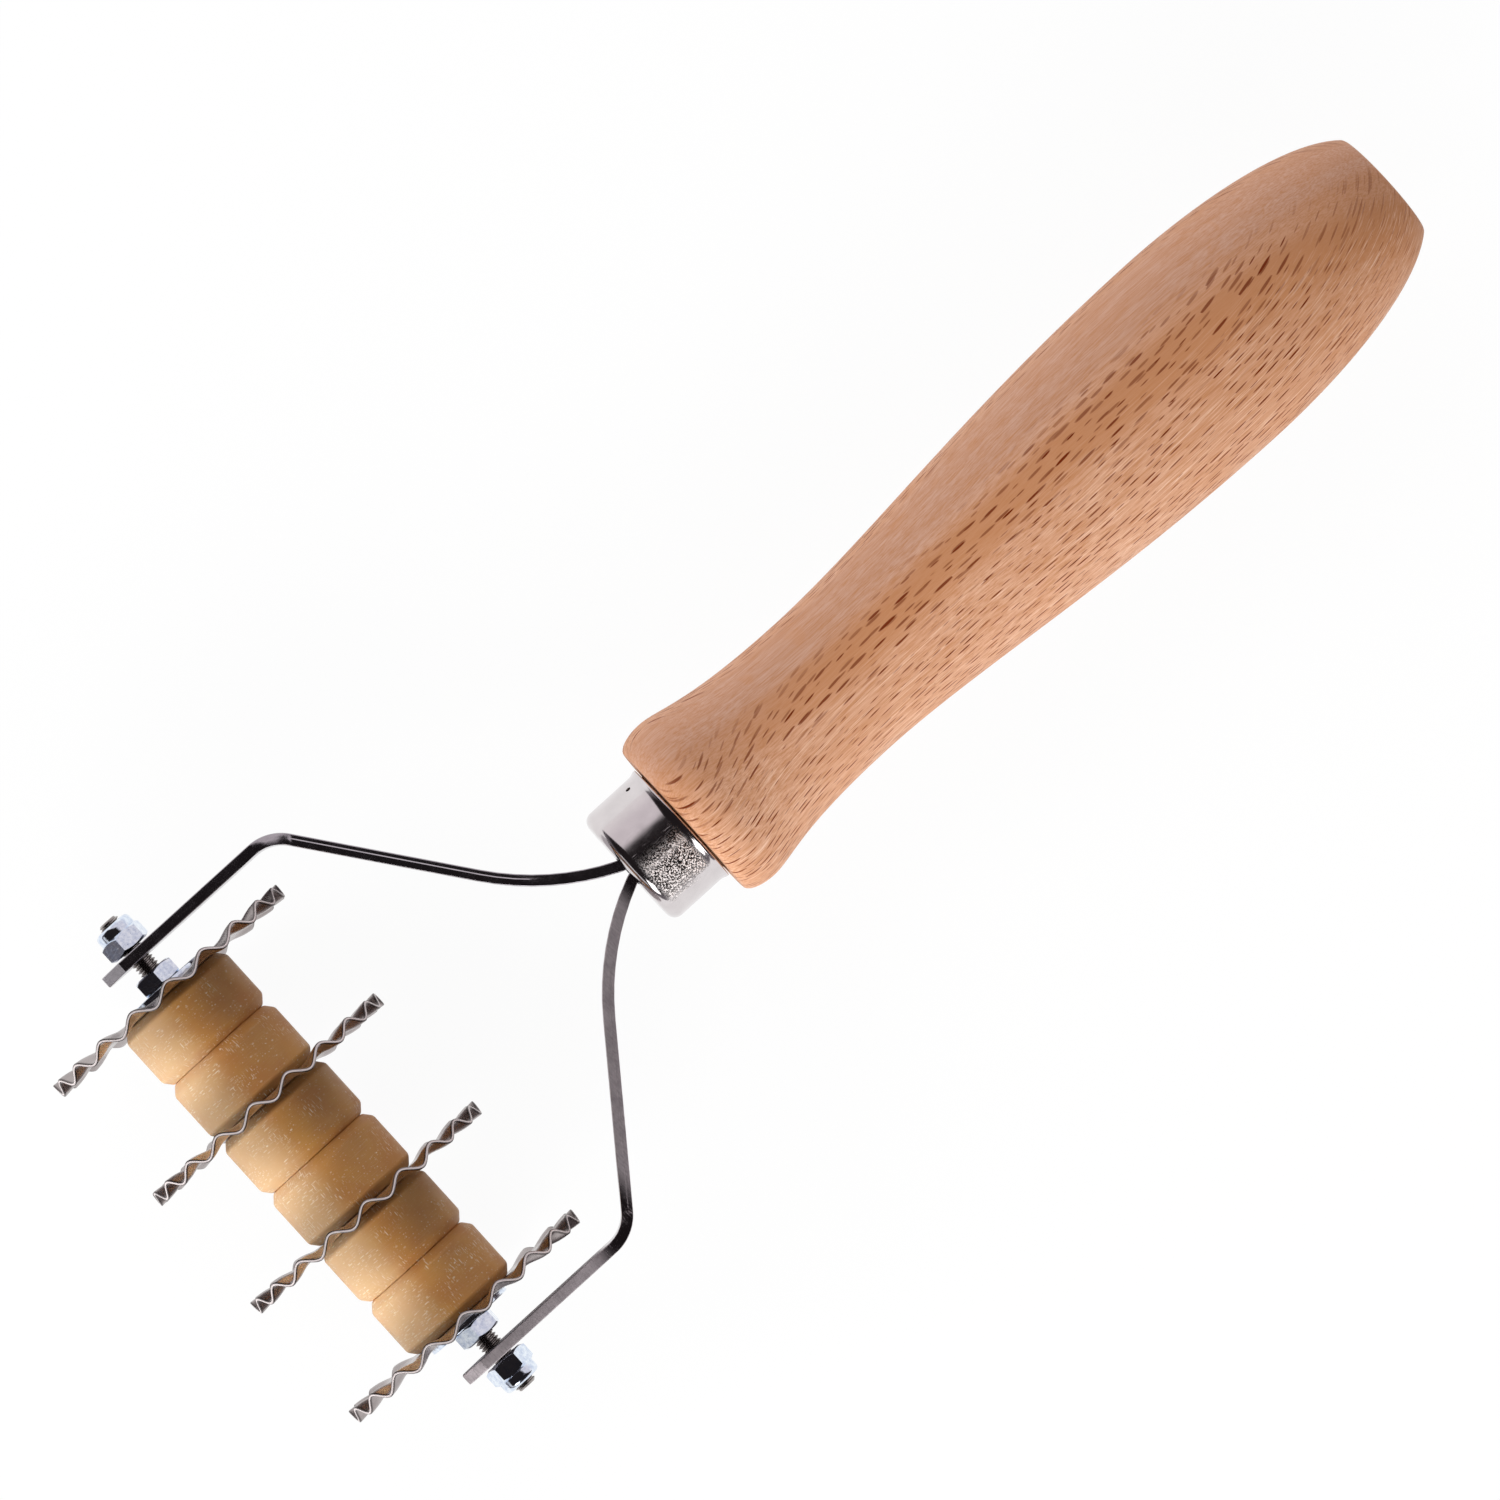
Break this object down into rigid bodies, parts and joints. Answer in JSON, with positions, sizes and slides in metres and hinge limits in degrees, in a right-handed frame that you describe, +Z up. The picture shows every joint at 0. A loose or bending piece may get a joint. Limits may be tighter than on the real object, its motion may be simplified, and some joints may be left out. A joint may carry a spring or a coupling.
{
  "type": "pasta cutter",
  "caption": "Hand-held pasta cutter: a roller of fluted steel blades and plastic spacers on a threaded rod, spinning in a steel fork with a turned wooden handle.",
  "frame": {"origin": "under the middle of the tool as it lies on its blades and on the handle's belly, on the surface it lies on", "axes": "+X from the roller to the butt of the handle, +Y along the axle, +Z up from the surface"},
  "size_m": [0.2016, 0.0792, 0.038],
  "materials": {
    "beech": "bare turned beech, sanded, with fine ray flecks",
    "nickel": "bright nickel plate with a fine drawn grain",
    "strip_steel": "sheared steel strip, polished faces and satin edges",
    "blade_steel": "pressed steel sheet, half bright",
    "zinc": "blue-white zinc plate",
    "tan_plastic": "turned tan plastic with pale specks, satin",
    "nylon": "natural nylon"
  },
  "bodies": {
    "handle_and_fork": {"wooden_handle": "beech", "ferrule": "nickel", "arm_left": "strip_steel", "arm_right": "strip_steel"},
    "roller": {"axle": "zinc", "blade_1": "blade_steel", "blade_2": "blade_steel", "blade_3": "blade_steel", "blade_4": "blade_steel", "spacer_1": "tan_plastic", "spacer_2": "tan_plastic", "spacer_3": "tan_plastic", "spacer_4": "tan_plastic", "spacer_5": "tan_plastic", "spacer_6": "tan_plastic", "washer_left": "zinc", "washer_right": "zinc", "hex_nut_left": "zinc", "hex_nut_right": "zinc", "lock_nut_left": "zinc", "lock_nut_right": "zinc", "lock_nut_insert_left": "nylon", "lock_nut_insert_right": "nylon"}
  },
  "joints": [
    {"name": "roller_spin", "type": "hinge", "parent": "handle_and_fork", "child": "roller", "pos_m": [-0.08184, 0, 0.019], "axis": [0, 1, 0], "continuous": true}
  ]
}
